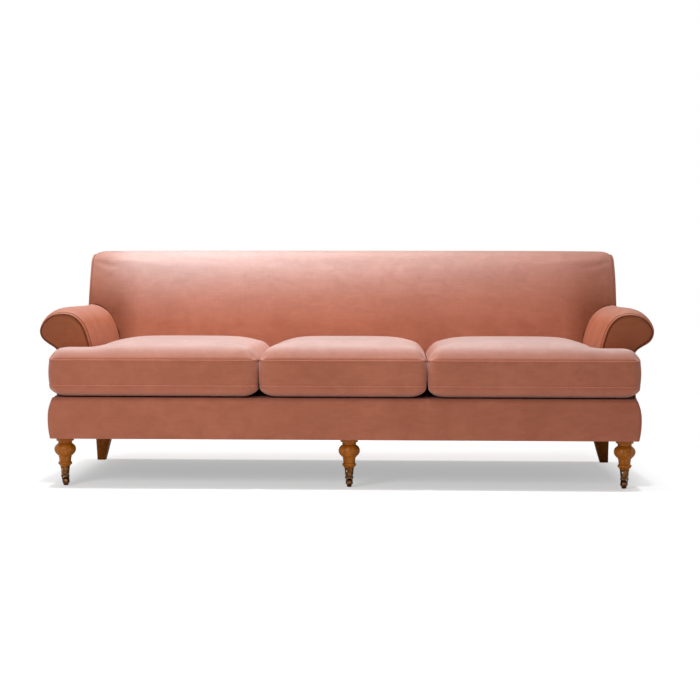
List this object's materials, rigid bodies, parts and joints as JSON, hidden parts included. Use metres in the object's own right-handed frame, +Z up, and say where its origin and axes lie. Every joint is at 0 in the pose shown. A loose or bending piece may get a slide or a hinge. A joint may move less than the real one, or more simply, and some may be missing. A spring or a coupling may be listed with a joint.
{
  "type": "lawson sofa",
  "caption": "Upholstered sofa with low rolled arms, a tight raked back, loose boxed seat cushions with T-shaped ends, turned front legs on casters and sabre rear legs.",
  "frame": {"origin": "on the floor, under the middle of the sofa's outer box", "axes": "+X along the seat towards the sitter's left arm, as seen from the front the right end; +Y from the front to the back; +Z up"},
  "size_m": [2.168, 0.93, 0.843],
  "materials": {
    "velvet": "matte",
    "deck_cloth": "matte",
    "foam": "matte",
    "cambric": "matte",
    "webbing": "matte",
    "frame_timber": "matte",
    "honey_wood": "gloss",
    "brown_wood": "satin",
    "antique_brass": "satin",
    "steel": "satin"
  },
  "bodies": {
    "sofa_frame": {"front_rail": "frame_timber", "back_rail": "frame_timber", "left_side_rail": "frame_timber", "right_side_rail": "frame_timber", "cross_rails": "frame_timber", "corner_blocks": "frame_timber", "seat_springs": "steel", "spring_clips": "steel", "deck_pad": "deck_cloth", "dust_cover": "cambric", "front_band": "velvet", "left_arm_stump": "frame_timber", "right_arm_stump": "frame_timber", "left_arm_board": "frame_timber", "right_arm_board": "frame_timber", "arm_tack_rails": "frame_timber", "left_arm_pad": "velvet", "right_arm_pad": "velvet", "left_scroll_panel": "velvet", "right_scroll_panel": "velvet", "left_outside_arm": "velvet", "right_outside_arm": "velvet", "left_back_post": "frame_timber", "right_back_post": "frame_timber", "back_uprights": "frame_timber", "back_top_rail": "frame_timber", "back_tack_rail": "frame_timber", "back_webbing": "webbing", "back_pad": "velvet", "left_back_boxing": "velvet", "right_back_boxing": "velvet", "outside_back": "velvet", "left_front_leg": "honey_wood", "middle_front_leg": "honey_wood", "right_front_leg": "honey_wood", "left_rear_leg": "brown_wood", "right_rear_leg": "brown_wood", "leg_bolts": "steel", "left_cup": "antique_brass", "middle_cup": "antique_brass", "right_cup": "antique_brass"},
    "left_seat_cushion": {"left_cushion": "velvet", "left_core": "foam"},
    "middle_seat_cushion": {"middle_cushion": "velvet", "middle_core": "foam"},
    "right_seat_cushion": {"right_cushion": "velvet", "right_core": "foam"},
    "left_caster_horn": {"left_fork": "antique_brass", "left_axle": "steel"},
    "left_caster_wheel": {"left_wheel": "antique_brass"},
    "middle_caster_horn": {"middle_fork": "antique_brass", "middle_axle": "steel"},
    "middle_caster_wheel": {"middle_wheel": "antique_brass"},
    "right_caster_horn": {"right_fork": "antique_brass", "right_axle": "steel"},
    "right_caster_wheel": {"right_wheel": "antique_brass"}
  },
  "joints": [
    {"name": "left_cushion_lift", "type": "slide", "parent": "sofa_frame", "child": "left_seat_cushion", "axis": [0, 0, 1], "range_m": [0, 0.35]},
    {"name": "middle_cushion_lift", "type": "slide", "parent": "sofa_frame", "child": "middle_seat_cushion", "axis": [0, 0, 1], "range_m": [0, 0.35]},
    {"name": "right_cushion_lift", "type": "slide", "parent": "sofa_frame", "child": "right_seat_cushion", "axis": [0, 0, 1], "range_m": [0, 0.35]},
    {"name": "left_caster_swivel", "type": "hinge", "parent": "sofa_frame", "child": "left_caster_horn", "pos_m": [-0.973, -0.4, 0.035], "axis": [0, 0, 1], "continuous": true},
    {"name": "left_wheel_roll", "type": "hinge", "parent": "left_caster_horn", "child": "left_caster_wheel", "pos_m": [-0.973, -0.389, 0.015], "axis": [1, 0, 0], "continuous": true},
    {"name": "middle_caster_swivel", "type": "hinge", "parent": "sofa_frame", "child": "middle_caster_horn", "pos_m": [0.0215, -0.4, 0.035], "axis": [0, 0, 1], "continuous": true},
    {"name": "middle_wheel_roll", "type": "hinge", "parent": "middle_caster_horn", "child": "middle_caster_wheel", "pos_m": [0.0215, -0.389, 0.015], "axis": [1, 0, 0], "continuous": true},
    {"name": "right_caster_swivel", "type": "hinge", "parent": "sofa_frame", "child": "right_caster_horn", "pos_m": [0.973, -0.4, 0.035], "axis": [0, 0, 1], "continuous": true},
    {"name": "right_wheel_roll", "type": "hinge", "parent": "right_caster_horn", "child": "right_caster_wheel", "pos_m": [0.973, -0.389, 0.015], "axis": [1, 0, 0], "continuous": true}
  ]
}
